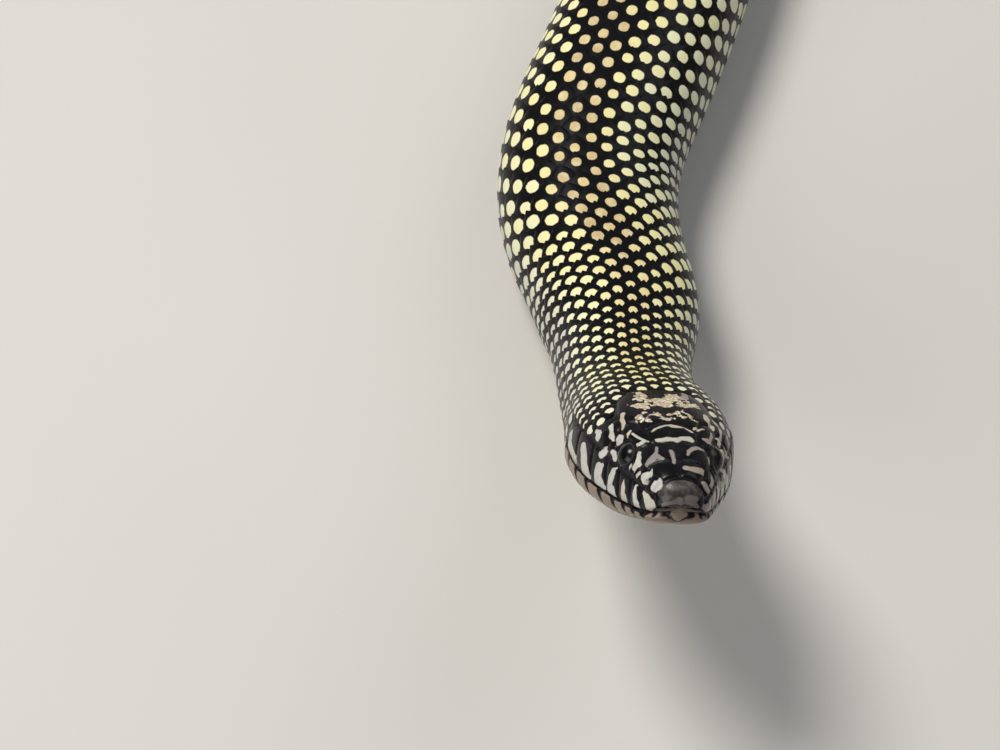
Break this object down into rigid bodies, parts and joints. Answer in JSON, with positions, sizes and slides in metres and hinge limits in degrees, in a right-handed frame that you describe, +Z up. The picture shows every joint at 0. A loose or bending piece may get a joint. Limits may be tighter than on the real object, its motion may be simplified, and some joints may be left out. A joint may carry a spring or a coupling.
{
  "type": "kingsnake model",
  "caption": "Life-size still model of a speckled kingsnake lying in loose bends on its belly, the head raised on the neck and turned to look up and forward.",
  "frame": {"origin": "middle of the whole model's bounding box, on the floor that the belly lies on", "axes": "+Z up; the head looks toward -Y and up; +X is the longest side, along the width of the bends"},
  "size_m": [0.3545, 0.2949, 0.0489],
  "materials": {
    "speckled_scales": "glossy black scales, each with one pale yellow spot; the colour is their average",
    "belly_scales": "smooth cream scales edged with dark",
    "eye_lens": "clear gloss over a dark round pupil"
  },
  "bodies": {
    "root": {"head": "speckled_scales", "lower_jaw": "belly_scales", "eye_left": "eye_lens", "eye_right": "eye_lens", "neck": "speckled_scales", "trunk_1": "speckled_scales", "trunk_2": "speckled_scales", "trunk_3": "speckled_scales", "trunk_4": "speckled_scales", "trunk_5": "speckled_scales", "trunk_6": "speckled_scales", "trunk_7": "speckled_scales", "trunk_8": "speckled_scales", "trunk_9": "speckled_scales", "tail_base": "speckled_scales", "tail_tip": "speckled_scales"}
  },
  "joints": []
}
